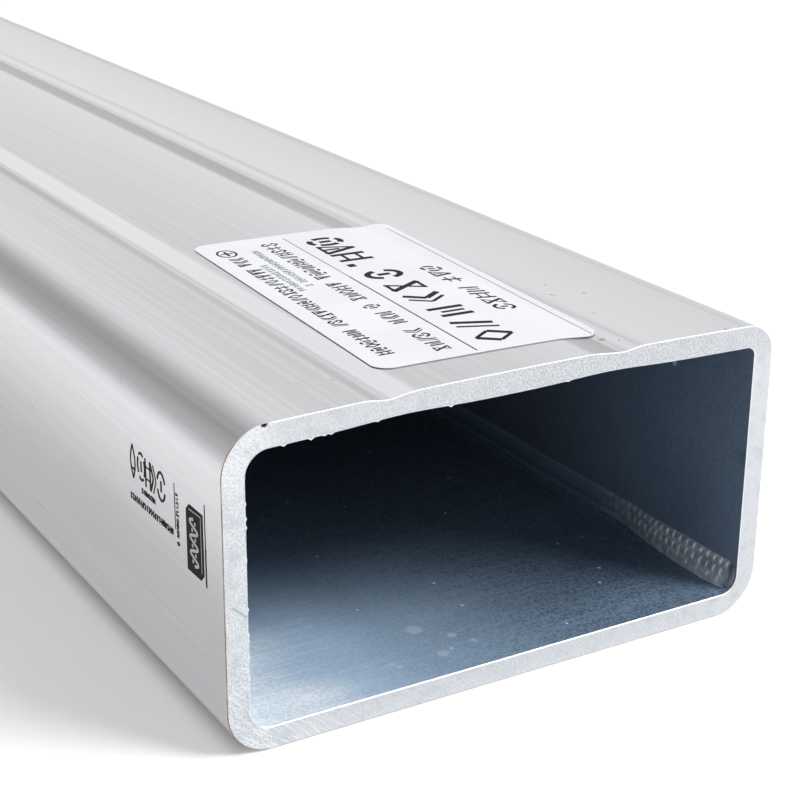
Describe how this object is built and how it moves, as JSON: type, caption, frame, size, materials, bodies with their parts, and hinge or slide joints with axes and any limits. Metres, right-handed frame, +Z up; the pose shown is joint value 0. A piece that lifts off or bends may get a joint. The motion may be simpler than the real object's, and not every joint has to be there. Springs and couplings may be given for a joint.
{
  "type": "rectangular metal tube",
  "caption": "Length of rectangular steel tube with shallow grooves rolled into its top face, an inner weld bead and a size label.",
  "frame": {"origin": "middle of the tube's underside", "axes": "+X along the tube to the end with the label, +Y across its width, +Z up out of the grooved face"},
  "size_m": [1, 0.1, 0.0527],
  "materials": {
    "steel": "satin zinc-grey steel with fine lines along its length, and sawn ends",
    "label_paper": "smooth white printed film"
  },
  "bodies": {
    "root": {"tube": "steel", "label": "label_paper"}
  },
  "joints": []
}
